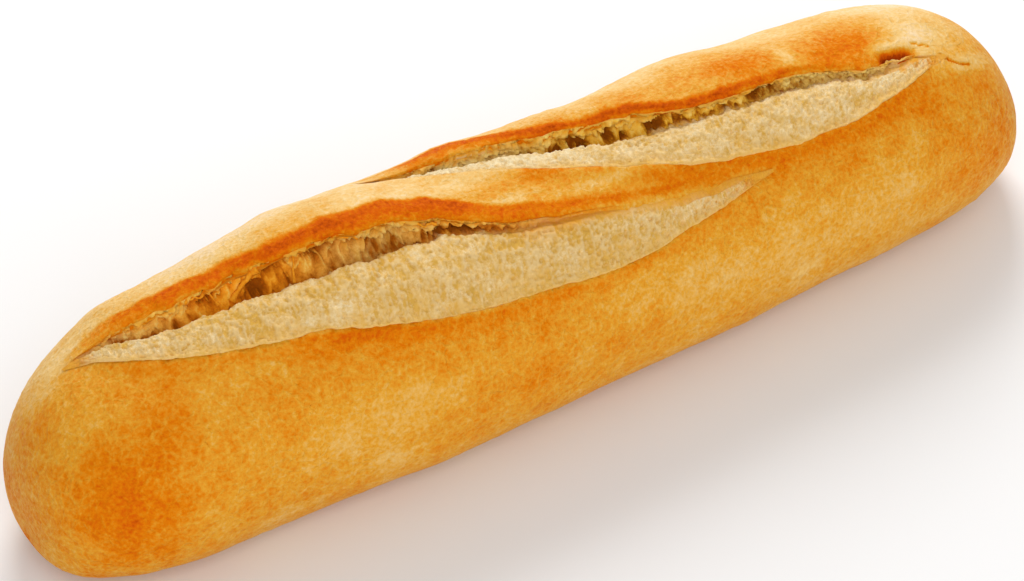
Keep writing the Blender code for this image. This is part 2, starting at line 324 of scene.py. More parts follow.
# ------------------------------------------------------------------ noise, worked out for whole arrays


def hashed(cell, seed):
    """A number from 0 to 1 for each whole-number cell, by mixing the bits of its coordinates."""
    mixed = cell.astype(np.uint32) * np.array([374761393, 668265263, 2246822519], np.uint32)
    mixed = mixed.sum(-1, dtype=np.uint32) + np.uint32(seed * 3266489917 % 2**32)
    mixed = (mixed ^ (mixed >> np.uint32(15))) * np.uint32(2246822519)
    mixed = (mixed ^ (mixed >> np.uint32(13))) * np.uint32(3266489917)
    return (mixed ^ (mixed >> np.uint32(16))).astype(np.float64) / 2**32


def value_noise(points, seed):
    """Smooth noise from -1 to 1: each lattice corner has a random value, blended by quintic curves."""
    base = np.floor(points)
    t = points - base
    t = t * t * t * (t * (t * 6 - 15) + 10)
    base = base.astype(np.int64)
    total = 0.0
    for corner in np.ndindex(2, 2, 2):
        offset = np.array(corner)
        weight = np.prod(np.where(offset == 1, t, 1 - t), axis=-1)
        total = total + weight * hashed(base + offset, seed)
    return total * 2 - 1


NOISE_GAIN = 1.6  # brings the sum of octaves back to about -1 to 1
RIDGE_FADE = 0.55  # each octave's height in ridged noise, as a share of the one before


def rough(points, size, seed, octaves=4, fade=0.5):
    """Fractal noise: octaves of value noise, each half the size and fade times the height."""
    total, weight, height = 0.0, 0.0, 1.0
    for octave in range(octaves):
        total = total + height * value_noise(points / size * 2**octave, seed + octave * 7)
        weight += height
        height *= fade
    return total / weight * NOISE_GAIN


def ridges(points, size, seed, octaves=3):
    """Ridged noise from 0 to 1: high along thin crests, low in the rounded hollows between them."""
    total, weight, height = 0.0, 0.0, 1.0
    for octave in range(octaves):
        fold = 1 - np.abs(value_noise(points / size * 2**octave, seed + octave * 5))
        total = total + height * fold * fold
        weight += height
        height *= RIDGE_FADE
    return total / weight


def bubbles(points, size, seed):
    """Cellular noise: the distance to the nearest of one random point per cell, in cells."""
    points = points / size
    base = np.floor(points).astype(np.int64)
    nearest = np.full(points.shape[:-1], 9.0)
    for step in np.ndindex(3, 3, 3):
        cell = base + np.array(step) - 1
        centre = np.stack([hashed(cell, seed + axis) for axis in range(3)], axis=-1) + cell
        nearest = np.minimum(nearest, ((points - centre) ** 2).sum(-1))
    return np.sqrt(nearest)


def holes(distance, reach):
    """1 in the middle of each bubble, and 0 from reach outwards, by the distance to its middle."""
    return np.clip(reach - distance, 0, 1) / reach


def along_only(x):
    """The place at which noise that changes only along the loaf is read."""
    return np.stack([x, 0 * x, 0 * x], -1)


# ------------------------------------------------------------------ meshes


def tube_faces(columns, rows, first):
    """Corner indices and face sizes of one closed tube whose vertices start at first.

    The tube is a grid of columns times rows that closes around, and its two last vertices are its ends.
    """
    start = np.arange(columns - 1)[:, None] * rows
    row = np.arange(rows)
    after = (row + 1) % rows
    quads = np.stack([start + row, start + rows + row, start + rows + after, start + after], axis=-1)
    left, right, last = columns * rows, columns * rows + 1, (columns - 1) * rows
    left_fan = np.stack([np.full(rows, left), row, after], axis=-1)
    right_fan = np.stack([np.full(rows, right), last + after, last + row], axis=-1)
    corners = np.concatenate([quads.ravel(), left_fan.ravel(), right_fan.ravel()]) + first
    return corners, np.concatenate([np.full(quads.size // 4, 4), np.full(2 * rows, 3)])


def tube_mesh(name, tubes, colours):
    """Closed tubes as one mesh: tubes[tube, column, row] is a grid around each tube, closed at both ends.

    colours are named values for each vertex, which the material reads.
    """
    count, columns, rows = tubes.shape[:3]

    def with_ends(values):
        flat = values.reshape(count, columns * rows, -1)
        ends = np.stack([values[:, 0].mean(1), values[:, -1].mean(1)], axis=1).reshape(count, 2, -1)
        return np.concatenate([flat, ends], axis=1).astype(np.float32).ravel()

    parts = [tube_faces(columns, rows, tube * (columns * rows + 2)) for tube in range(count)]
    corners, sizes = (np.concatenate(column) for column in zip(*parts))
    starts = np.concatenate([[0], np.cumsum(sizes)[:-1]])
    mesh = bpy.data.meshes.new(name)
    mesh.vertices.add(count * (columns * rows + 2))
    mesh.vertices.foreach_set("co", with_ends(tubes))
    mesh.loops.add(len(corners))
    mesh.loops.foreach_set("vertex_index", corners.astype(np.int32))
    mesh.polygons.add(len(sizes))
    mesh.polygons.foreach_set("loop_start", starts.astype(np.int32))
    mesh.polygons.foreach_set("loop_total", sizes.astype(np.int32))
    mesh.update(calc_edges=True)
    mesh.validate()
    for key, values in colours.items():
        layer = mesh.attributes.new(key, "FLOAT", "POINT")
        layer.data.foreach_set("value", with_ends(values[..., None]))
    mesh.shade_smooth()
    return mesh


def add_piece(name, mesh, material):
    """Puts a finished mesh in the scene as a piece of the loaf."""
    piece = bpy.data.objects.new(name, mesh)
    bpy.context.scene.collection.objects.link(piece)
    mesh.materials.append(material)
    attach(piece, BODY)
    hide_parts("loaf")
    return piece


# ------------------------------------------------------------------ the crust


def dough_swells(x, angle):
    """Soft swells of the dough: the sum of one bell curve for each, along x and around."""
    total = np.zeros_like(x)
    for middle, turn, along, around, height in SWELLS:
        apart = (angle - np.radians(turn) + np.pi) % (2 * np.pi) - np.pi
        total += height * np.exp(-(((x - middle) / along) ** 2) - (apart / np.radians(around)) ** 2)
    return total


# Along x, how far the slashes' lines waver and the size of each wave, in metres.
RIM_WAVER, RIM_WAVE = 0.0004, 0.011
RIM_NICK, RIM_NICK_SIZE = 0.00012, 0.0016
SLOT_WAVER, SLOT_WAVE = 0.00045, 0.0036


def slash_lines(slash, x):
    """The section angles at x of the slash's rim, bed edge, slot, ear edge and ear crest.

    The rim and the slot follow their curves with a little noise along x, because the dough tore there.
    """
    bed, ear = openness(slash, x)
    radius = radius_at(x)
    line = along_only(x)
    seed = slash["seed"]
    waver = RIM_WAVER * rough(line, RIM_WAVE, seed, 3) + RIM_NICK * rough(line, RIM_NICK_SIZE, seed + 1, 2)
    ragged = SLOT_WAVER * rough(line, SLOT_WAVE, seed + 2, 3)
    rim = np.radians(through(slash["rim"], x)) + waver * bed / radius
    slot = np.radians(through(slash["slot"], x)) + ragged * bed / radius
    edge = rim + STEP_WIDTH * bed / radius
    lip = slot + slash["lip"] * ear / radius
    crest = lip + slash["roll"] * np.sqrt(ear) / radius
    return rim, edge, slot, lip, crest


def in_order(angles):
    """The same angles, each at least LEAST_BAND after the one before it."""
    ordered = [angles[0]]
    for angle in angles[1:]:
        ordered.append(np.maximum(angle, ordered[-1] + LEAST_BAND))
    return ordered


def crust_angles(x):
    """Rows of section angles: a fixed number between each two lines of the slashes.

    Behind the last line they start close together and then spread out, as t to the power BACK_SPREAD.
    """
    knots = in_order([*slash_lines(LEFT_SLASH, x), *slash_lines(RIGHT_SLASH, x)])
    counts = [FRONT_ROWS, *SLASH_ROWS, BRIDGE_ROWS, *SLASH_ROWS, BACK_ROWS]
    powers = [1.0] * (len(counts) - 1) + [BACK_SPREAD]
    knots = [np.full_like(x, -np.pi / 2), *knots, np.full_like(x, 1.5 * np.pi)]
    rows = [
        low + (high - low) * (step / count) ** power
        for low, high, count, power in zip(knots, knots[1:], counts, powers)
        for step in range(count)
    ]
    return np.stack(rows, axis=1)


EAR_WAVER, EAR_WAVE = 0.10, 0.014  # the share by which an ear's height wavers, over waves of this length
LEAN_WAVER, LEAN_WAVE = 0.8, 0.005  # the same for how far it hangs forward
EDGE_SHARE = 0.55  # of the ear's height at which its torn edge lies


def ear_height(slash, x):
    """How high the ear stands at x: its rise, wavering a little along the slash."""
    _, ear = openness(slash, x)
    return slash["rise"] * ear * (1 + EAR_WAVER * rough(along_only(x), EAR_WAVE, slash["seed"] + 3, 3))


def crust_cut(slash, x, angle):
    """How the slash moves the crust out and back.

    Before the rim the crust swells a little. Between the lines of the slash it follows this profile:
    rim, groove floor, slot floor, recess under the ear, the ear's thin edge, and the ear's round crest.
    Behind the crest it sinks back over EAR_FADE. Where there is no ear the groove comes up at the slot.
    """
    bed, ear = openness(slash, x)
    radius = radius_at(x)
    rim, edge, slot, lip, crest = slash_lines(slash, x)
    height = ear_height(slash, x)
    lean = slash["lean"] * ear * (1 + LEAN_WAVER * rough(along_only(x), LEAN_WAVE, slash["seed"] + 9, 3))

    def share(low, high):
        return np.clip((angle - low) / np.maximum(high - low, 1e-6), 0, 1)

    on_step, on_bed = share(rim, edge), share(edge, slot)
    on_wall, on_roll = share(slot, lip), share(lip, crest)
    ahead = np.maximum(rim - angle, 0) * radius
    beyond = np.maximum(angle - crest, 0) * radius
    before = RIM_RISE * bed * (1 - smooth_step(ahead, 0, RIM_FADE))
    groove = (RIM_RISE - (RIM_RISE + GROOVE) * on_step**0.8) * bed
    floor = GROOVE * bed * np.minimum(1, 3 * ear) + (slash["depth"] + SLOT_CLEARANCE) * ear
    trough = -GROOVE * bed - (floor - GROOVE * bed) * smooth_step(on_bed, 0.55, 1)
    recess = np.interp(on_wall, [0, 0.3, 0.6, 0.85, 1], [0, 0.25, 0.62, 0.8, 1])
    wall = -floor + (height * EDGE_SHARE + floor) * recess
    under = np.interp(on_wall, [0, 0.25, 0.6, 0.85, 1], [0, 1, 0.8, -0.1, -1])
    roll = height * (EDGE_SHARE + (1 - EDGE_SHARE) * np.sin(np.pi / 2 * on_roll))
    behind = height * (1 - smooth_step(beyond, 0, EAR_FADE))
    out = np.select(
        [angle < rim, angle < edge, angle < slot, angle < lip, angle < crest],
        [before, groove, trough, wall, roll],
        behind,
    )
    back = np.where(angle < lip, np.where(under > 0, RECESS * ear * under, lean * under), 0)
    back = np.where((angle >= lip) & (angle < crest), -lean * np.cos(np.pi / 2 * on_roll), back)
    return out, np.where(angle < slot, 0, back)


# The crust's unevenness: the height and the size of each feature, in metres.
LUMP_HEIGHT, LUMP_SIZE = 0.00040, 0.034
WAVE_HEIGHT, WAVE_SIZE = 0.00022, 0.0065
PIT_DEPTH, PIT_SIZE = 0.00010, 0.0022
BLISTER_HEIGHT, BLISTER_SIZE = 0.0010, 0.0045
BLISTER_GROUPS = 0.017  # the size of the areas that have blisters
ALONG_LOAF = np.array([0.6, 1, 1])  # stretches what it scales along the loaf


def crust_texture(places):
    """The crust's own unevenness: soft lumps, small waves, low blisters and shallow pits."""
    lumps = LUMP_HEIGHT * rough(places, LUMP_SIZE, 3, 2)
    waves = WAVE_HEIGHT * rough(places * ALONG_LOAF, WAVE_SIZE, 5, 3)
    pits = -PIT_DEPTH * np.clip(rough(places, PIT_SIZE, 7, 2) - 0.25, 0, 1)
    blisters = BLISTER_HEIGHT * np.clip(0.42 - bubbles(places, BLISTER_SIZE, 41), 0, 1) ** 1.5
    chosen = smooth_step(rough(places, BLISTER_GROUPS, 43, 2), 0.05, 0.5)
    return lumps + waves + pits + blisters * chosen


def apart_on_crust(x, angle, middle, turn):
    """How far x and angle are from a point of the crust, along it and around it, in metres."""
    return x - middle, (angle - np.radians(turn)) * radius_at(x)


def nook_depth(x, angle):
    """How deep the crust is torn open at the nooks: a bell curve for each, whose outline wavers along x."""
    total = np.zeros_like(x)
    ragged = NOOK_RAGGEDNESS * rough(along_only(x), NOOK_WAVE, 71, 3)
    for middle, turn, along, around, depth in NOOKS:
        off_x, off_around = apart_on_crust(x, angle, middle, turn)
        off_around = off_around + ragged
        total += depth * np.exp(-((off_x / along) ** 2) - (off_around / around) ** 2)
    return total


def crack_share(x, angle):
    """1 in the middle of a crack and 0 away from it, by the distance to its nearest stretch."""
    nearest = np.full_like(x, 1.0)
    for crack in CRACKS:
        for (start_x, start_turn), (end_x, end_turn) in zip(crack, crack[1:]):
            off_x, off_around = apart_on_crust(x, angle, start_x, start_turn)
            run_x = end_x - start_x
            run_around = np.radians(end_turn - start_turn) * radius_at(x)
            t = np.clip((off_x * run_x + off_around * run_around) / (run_x**2 + run_around**2), 0, 1)
            nearest = np.minimum(nearest, np.hypot(off_x - t * run_x, off_around - t * run_around))
    return 1 - smooth_step(nearest, 0.0001, 0.00055)


def plain_bake(x, angle, places):
    """How brown the crust is away from the slashes: USUAL_BAKE, with patches, streaks and noise added.

    It is paler on the top of the back, partly as a painted sheen of the light from behind, and in a low
    streaky band near the floor, and browner on the base.
    The patches and the two paler areas fade out at the very tips.
    """
    bake = USUAL_BAKE + 0.05 * rough(places, 0.026, 61, 3) + 0.05 * rough(places, 0.0085, 63, 3)
    body = smooth_step(LENGTH / 2 - np.abs(x), 0.001, 0.016)
    for middle, turn, along, around, change in PATCHES:
        off_x, off_around = apart_on_crust(x, angle, middle, turn)
        bake += body * change * np.exp(-((off_x / along) ** 2) - (off_around / around) ** 2)
    height = places[..., 2]
    streaks = np.clip(rough(places * STREAK_STRETCH, 0.004, 67, 3), 0, 1)
    low = smooth_step(height, 0.0005, 0.004) * (1 - smooth_step(height, 0.010, 0.028))
    bake -= body * low * (LOW_PALENESS + STREAK_PALENESS * streaks)
    degrees = np.degrees(angle)
    # painted sheen in part: the top of the back is paler, as well as a little less baked
    bake -= body * TOP_PALENESS_AND_SHEEN * smooth_step(degrees, 98, 118) * (1 - smooth_step(degrees, 150, 195))
    return bake + BASE_BROWNING * smooth_step(-np.sin(angle), 0.85, 0.99)


def slash_bake(slash, x, angle):
    """How brown, how pale and how torn one slash makes the crust, each 0 where it leaves it as it is.

    One brown band lies on the ear and another just before the rim. A thin pale line runs in places along
    the ear's torn edge, and along the slot where the ear is low. The ear's underside is torn.
    """
    bed, ear = openness(slash, x)
    radius = radius_at(x)
    rim, edge, slot, lip, _ = slash_lines(slash, x)
    ahead = (rim - angle) * radius
    past_lip = (angle - lip) * radius
    close = 0.75 * bell(ahead, 0.0014, 0.0024) + 0.25 * bell(ahead, 0, 0.009)
    before_rim = through(slash["scorched"], x) * bed * np.where(ahead > 0, close, 0)
    width = through(slash["brown"], x)
    rising = 0.72 + 0.28 * smooth_step(past_lip, 0.1 * width, 0.65 * width)
    falling = 1 - smooth_step(past_lip, 0.85 * width, width + BROWN_EDGE)
    on_ear = bed**0.3 * through(slash["baked"], x) * (past_lip > -EDGE_WIDTH)
    brown = np.maximum(before_rim, on_ear * rising * falling)
    broken = smooth_step(rough(along_only(x), 0.006, slash["seed"] + 12, 3), -0.1, 0.4)
    torn_edge = ear**0.5 * broken * bell(past_lip, 0, EDGE_WIDTH)
    no_ear = 1 - smooth_step(ear, 0, 0.2)
    healed_slot = 1.4 * bed * no_ear * bell((angle - slot) * radius, 0, 4 * EDGE_WIDTH)
    torn = (angle > edge) * (past_lip < -1.5 * EDGE_WIDTH) * smooth_step(ear, 0.01, 0.1)
    return brown, np.maximum(torn_edge, healed_slot), torn


def crust_bake(x, angle, places):
    """How brown the crust is, from 0 to MOST_BAKE, and how far it is torn crumb, from 0 to 1.

    Where a slash browns it, the bake goes towards DARKEST and keeps a share of its unevenness. Pale lines
    take some of it away, and the cracks and the nook are browner.
    """
    bake = plain_bake(x, angle, places) + CRACK_BROWNING * crack_share(x, angle)
    brown, pale, torn = np.max([slash_bake(slash, x, angle) for slash in SLASHES], axis=0)
    brown = np.clip(brown, 0, 1)
    bake += (DARKEST + KEPT_UNEVENNESS * (bake - 0.5) - bake) * brown - PALE_LINE * pale
    bake += NOOK_BROWNING * np.clip(nook_depth(x, angle) / NOOK_BROWN_DEPTH, 0, 1)
    return np.clip(bake, 0, MOST_BAKE), torn


def crust_piece(material):
    """The whole crust as one closed tube around X, with a groove for the crumb of each slash.

    Its columns crowd together at the tips, because their x goes as a sine. On the underside most of the
    unevenness is taken out.
    """
    x = LENGTH / 2 * np.sin(np.pi / 2 * np.linspace(-1, 1, CRUST_COLUMNS + 2)[1:-1])
    angle = crust_angles(x)
    x = np.broadcast_to(x[:, None], angle.shape)
    smooth = surface(x, angle)
    out = dough_swells(x, angle) + crust_texture(smooth)
    out -= nook_depth(x, angle) + CRACK_DEPTH * crack_share(x, angle)
    back = np.zeros_like(x)
    for slash in SLASHES:
        cut_out, cut_back = crust_cut(slash, x, angle)
        out += cut_out
        back += cut_back
    under = smooth_step(-np.sin(angle), 0.55, 0.9)
    places = surface(x, angle, out * (1 - BASE_SMOOTHING * under), back)
    bake, torn = crust_bake(x, angle, smooth)
    values = {"bake": bake[None], "torn": torn[None]}
    return add_piece("crust", tube_mesh("crust", places[None], values), material)


# ------------------------------------------------------------------ the crumb in the slashes


def crumb_profile(slash, x):
    """Control points across the slash at x, each as (angle, out, back), in order around the crumb.

    They run from under the rim, over the bed, down into the slot, up the torn wall and under the ear,
    and then back underneath, inside the crust. Where there is no ear, the bed ends just past the slot.
    """
    bed, ear = openness(slash, x)
    radius = radius_at(x)
    rim, edge, slot, lip, _ = slash_lines(slash, x)
    edge_height = ear_height(slash, x) * EDGE_SHARE
    depth = slash["depth"] * ear
    width = slot - edge
    past = 0.0010 * bed * np.clip(1 - 4 * ear, 0, 1)

    def point(angle, offset, out, back=0.0):
        return angle + offset / radius, out + 0 * x, back + 0 * x

    closed = bed * (1 - ear)
    hang = -slash["lean"] * ear
    return [
        point(rim, -0.0005 * bed, -0.0005 * bed),
        point(rim, 0.0002 * bed, 0.0009 * bed),
        point(edge, 0.0, 0.0005 * bed),
        point(edge + 0.30 * width, 0.0, 0.0006 * bed),
        point(edge + 0.60 * width, 0.0, 0.0006 * bed - 0.0004 * ear),
        point(slot, -0.0022 * bed, 0.0004 * bed - 0.0016 * ear),
        point(slot, -0.0009 * bed + past, -0.0004 * bed - 0.0028 * ear),
        point(slot, 0.0004 * ear + past, -depth - 0.0006 * bed),
        point(slot + 0.4 * (lip - slot), past, -0.62 * depth - 0.0004 * closed, 0.0015 * ear),
        point(lip, past, edge_height - 0.0022 * ear - 0.0005 * closed, 0.4 * hang),
        point(lip, past, edge_height - 0.0004 * ear - 0.0006 * closed, hang + 0.0001 * ear),
        point(lip, 0.0010 * ear + past, edge_height - 0.0012 * ear - 0.0008 * closed, 0.0006 * ear),
        point(lip, 0.0008 * ear, -depth - 0.0012 * bed, 0.0030 * ear),
        point(slot, 0.0, -depth - 0.0034 * bed),
        point(edge + 0.5 * width, 0.0, -0.0036 * bed),
        point(rim, -0.0006 * bed, -0.0030 * bed),
    ]


CRUMB_ROWS = (3, 5, 18, 18, 14, 6, 6, 9, 9, 4, 3, 3, 3, 4, 4, 3)  # after each control point
WALL_FOOT, WALL_TOP = 6.6, 10.0  # places on the profile, counted in control points
CRUMB_END = 0.03  # the share of half a cosine wave at which the crumb starts and ends


def round_profile(knots, counts):
    """Rows along a closed Catmull-Rom curve through the knots, with counts[k] rows after knot k.

    Returns each row's place in every coordinate, and its knot number with the share of the way on.
    """
    rows, numbers = [], []
    total = len(knots)
    for k, count in enumerate(counts):
        before, start, end, after = (np.stack(knots[(k + step) % total]) for step in (-1, 0, 1, 2))
        for step in range(count):
            t = step / count
            rows.append(
                start
                + 0.5 * t * (end - before)
                + t * t * (before - 2.5 * start + 2 * end - 0.5 * after)
                + t * t * t * (1.5 * start - 0.5 * before - 1.5 * end + 0.5 * after)
            )
            numbers.append(k + t)
    return np.stack(rows, axis=-1), np.array(numbers)


# Sizes of the crumb's features, in metres: on the bed, and then on the torn wall.
CRUMB_LUMP, FIBRE, GRAIN, PORE, PORE_GROUPS = 0.0048, 0.0011, 0.0007, 0.0021, 0.005
WARP, BIG_CELL, SMALL_CELL, SHRED, WEB, STRAND, BULGE = 0.0021, 0.0027, 0.0014, 0.0009, 0.0034, 0.0021, 0.003

# Their heights, in metres, with what is hollow below 0.
BED_LUMPS, BED_FIBRES, BED_GRAIN, BED_PORES = 0.00028, 0.00042, 0.00034, -0.0004
WALL_CELLS, WALL_WEBS, WALL_SMALL_CELLS, WALL_SHREDS = 0.0010, 0.0010, 0.0008, 0.00055
WALL_BULGES, SHRED_RISE, WALL_FORWARD = 0.0005, 0.0004, 0.0006

FIBRE_SLANT, FIBRE_STRETCH = 0.25, np.array([1, 0.36, 1])  # the fibres run across the bed, a little slanted
WALL_SPAN = 0.0070  # the torn wall's height, at which its features are read
FIBRE_LEVEL, WEB_LEVEL = 0.45, 0.6  # the ridged noise that leaves the bed and the wall where they are
HOLLOW_SHARE, HOLLOW_RAGGEDNESS = 0.72, 0.60
BED_EDGE_RAGGEDNESS, BED_EDGE_WAVE = 0.0006, 0.0020  # how raggedly the bed breaks off at the slot
PALEST_FORWARD, SHADE_DEPTH_SPAN = 0.0007, 0.0037  # where the wall is palest, and how far behind that its painted shade is darkest
TOASTED_FLECK, WARM_PATCH = 0.0022, 0.0050  # sizes of the bed's golden flecks and patches


def hollow_depth(slash, x, up, warp):
    """How deep the torn wall is hollowed out at x and the share up it, in metres.

    Each hollow is a rounded step inside an ellipse whose outline the warp makes ragged.
    """
    total = np.zeros_like(x)
    for middle, height, along, high, depth in slash["hollows"]:
        far = np.hypot((x - middle) / along, (up - height) / high) + HOLLOW_RAGGEDNESS * warp
        total = np.maximum(total, HOLLOW_SHARE * depth * (1 - smooth_step(far, 0.25, 1.30)))
    return total


def bed_relief(flat, seed):
    """Soft lumps, fibres, fine grain and open pores, on the bed laid flat.

    Lumps and grain go from about -1 to 1, fibres and pores from 0 to 1. The pores lie in groups.
    """
    lumps = rough(flat, CRUMB_LUMP, seed, 3)
    fibres = ridges(flat * FIBRE_STRETCH + 0.0003 * lumps[..., None], FIBRE, seed + 1, 3)
    grain = rough(flat, GRAIN, seed + 2, 3)
    pores = holes(bubbles(flat + 0.0004 * grain[..., None], PORE, seed + 3), 0.36)
    groups = smooth_step(rough(flat, PORE_GROUPS, seed + 4, 2), 0.25, 0.6)
    return lumps, fibres, grain, pores**0.7 * groups


def wall_relief(slash, x, up):
    """How far the torn wall goes back and out in metres, and its small cells, strands and shreds.

    Big and small round cells and the slash's hollows go back. Webs and strands between them stay forward.
    """
    seed = slash["seed"]
    face = np.stack([x, up * WALL_SPAN, 0 * x], -1)
    warp = rough(face, WARP, seed + 5, 3)
    bent = face + 0.0007 * warp[..., None] * np.array([1, 0.6, 0])
    big_cells = holes(bubbles(bent, BIG_CELL, seed + 6), 0.62)
    small_cells = holes(bubbles(bent, SMALL_CELL, seed + 8), 0.62)
    shreds = rough(face, SHRED, seed + 7, 3)
    webs = ridges(bent, WEB, seed + 15, 3)
    strands = smooth_step(ridges(bent, STRAND, seed + 16, 2), 0.62, 0.88)
    inner = smooth_step(up, -0.04, 0.10) * (1 - smooth_step(up, 0.90, 1.0))
    back = (WALL_CELLS * big_cells + WALL_WEBS * (WEB_LEVEL - webs)) * inner
    back += WALL_SMALL_CELLS * small_cells + WALL_SHREDS * shreds - WALL_FORWARD
    back += hollow_depth(slash, x, up, warp) * (1 - 0.8 * strands)
    out = WALL_BULGES * rough(face, BULGE, seed + 11, 3) + SHRED_RISE * shreds
    return back, out, small_cells, strands, shreds


def crumb_piece(name, slash, material):
    """One slash's bed, slot and torn wall, as a closed tube along the slash.

    The profile's rows are moved out by the bed's relief and back by the torn wall's, each only where it
    belongs. The values that colour the crumb, each from 0 to 1, come from the same relief: the depth value is
    how deep a place lies, which the material turns into painted shade; wall that it is torn; the olive value
    how far the torn colours turn to the grey olive that paints the shade on the lower wall; fibre that it is
    raised, warm how golden it is, rim that it is at the bed's front edge, and healed that it has baked over.
    """
    start, end = slash["rim"][0][0], slash["rim"][-1][0]
    share = 0.5 - 0.5 * np.cos(np.pi * np.linspace(CRUMB_END, 1 - CRUMB_END, CRUMB_COLUMNS))
    x = start + (end - start) * share
    (angle, out, back), number = round_profile(crumb_profile(slash, x), CRUMB_ROWS)
    x = np.broadcast_to(x[:, None], angle.shape)
    number = np.broadcast_to(number, angle.shape)
    bed, ear = openness(slash, x)
    seed = slash["seed"]
    open_bed, open_ear = smooth_step(bed, 0.02, 0.3), smooth_step(ear, 0.02, 0.3)
    low_ear = 1 - smooth_step(ear, 0.05, 0.5)
    past_slot = smooth_step(number, 6.0, 7.0)
    on_bed = smooth_step(number, 0.8, 1.5) * (1 - smooth_step(number + 0.7 * low_ear, 5.7, 6.4)) * open_bed
    on_wall = smooth_step(number, 5.6, 6.5) * (1 - smooth_step(number, 9.7, 10.4)) * open_ear

    across = (angle - angle[:, :1]) * radius_at(x)
    flat = np.stack([x - FIBRE_SLANT * across, across, 0 * x], -1)
    lumps, fibres, grain, pores = bed_relief(flat, seed)
    bed_out = BED_LUMPS * lumps + BED_FIBRES * (fibres - FIBRE_LEVEL) + BED_GRAIN * grain + BED_PORES * pores
    up = np.clip((number - WALL_FOOT) / (WALL_TOP - WALL_FOOT), 0, 1)
    wall_back, wall_out, small_cells, strands, shreds = wall_relief(slash, x, up)
    at_slot = rough(flat * np.array([1, 0.4, 1]), BED_EDGE_WAVE, seed + 9, 3) * bell(number, 6.0, 0.8)
    torn_share = on_wall * np.minimum(ear**0.4, 4 * ear)
    out = out + bed_out * on_bed + wall_out * torn_share
    back = back + wall_back * torn_share + BED_EDGE_RAGGEDNESS * at_slot * open_ear
    places = surface(x, angle, out + dough_swells(x, angle), back)

    healed = low_ear * smooth_step(number + 0.5 * lumps, 4.0, 6.2) * (1 - open_ear * past_slot)
    crown = 0.8 * smooth_step(up + 0.30 * lumps + 0.2 * shreds, 0.62, 1.0) * (number < 12)
    at_left, at_right = slash["tip_fades"]
    waver = 0.006 * lumps + 0.002 * grain
    from_left = smooth_step(x - start + 0.4 * waver, 0.002, at_left)
    from_right = smooth_step(end - x + 1.4 * waver, 0.002, at_right)
    tips = 1 - from_left * from_right
    # Painted shade: the crevice at the wall's foot, the wall's deeper places, the bed's pores and the small
    # cells are made darker, and the strands that stand forward lighter.
    crevice = open_ear * bell(number + 0.6 * shreds, 7.0, 0.7)
    wall_depth = on_wall * (wall_back + PALEST_FORWARD) / SHADE_DEPTH_SPAN
    shaded_depth = np.clip(wall_depth + 0.5 * on_bed * pores + 0.36 * crevice, 0, 1)
    shaded_depth = np.clip(shaded_depth + on_wall * (0.32 * small_cells**1.5 - 0.24 * strands), 0, 1)
    # Painted shade: the lower wall, shaded by the ear, gets the grey olive of pale crumb in shade, and less
    # of the wall's torn colour.
    lower = 1 - 0.6 * smooth_step(up + 0.3 * lumps, 0.35, 0.95)
    olive_shade = (1 - np.clip(through(slash["torn"], x), 0, 1)) * lower * (1 - smooth_step(shaded_depth, 0.5, 0.9))
    toasted = 0.16 * smooth_step(rough(flat, TOASTED_FLECK, seed + 13, 3), 0.10, 0.75)
    uneven = 0.22 * rough(flat, WARM_PATCH, seed + 10, 4, 0.7) + 0.12 * grain
    values = {
        "shaded_depth": shaded_depth,
        "wall": open_ear * past_slot * (1 - 0.6 * olive_shade**2),
        "olive_shade": np.clip(olive_shade, 0, 1),
        "fibre": np.clip(fibres + 0.35 * grain, 0, 1),
        "warm": np.clip(through(slash["warmth"], x) + uneven + toasted, 0, 1),
        "rim": (1 - smooth_step(number + 0.7 * lumps, 1.5, 3.0)) * (1 - tips),
        "healed": np.clip(np.maximum(np.maximum(healed, crown), tips), 0, 1),
    }
    values = {key: value[None] for key, value in values.items()}
    return add_piece(name, tube_mesh(name, places[None], values), material)


# A thread's radius in its middle, what its ends add, and its lumps, in metres. Then how far it bows
# outwards and wanders, and the size of each bend.
THREAD_RADIUS, THREAD_FLARE, THREAD_LUMPS = 0.00022, 0.00035, 0.00010
THREAD_BOW, THREAD_WANDER, THREAD_WAVE = 0.0006, 0.0006, 0.0016
THREAD_TONE = 0.3  # its colour is that of a place this deep, from 0 to 1


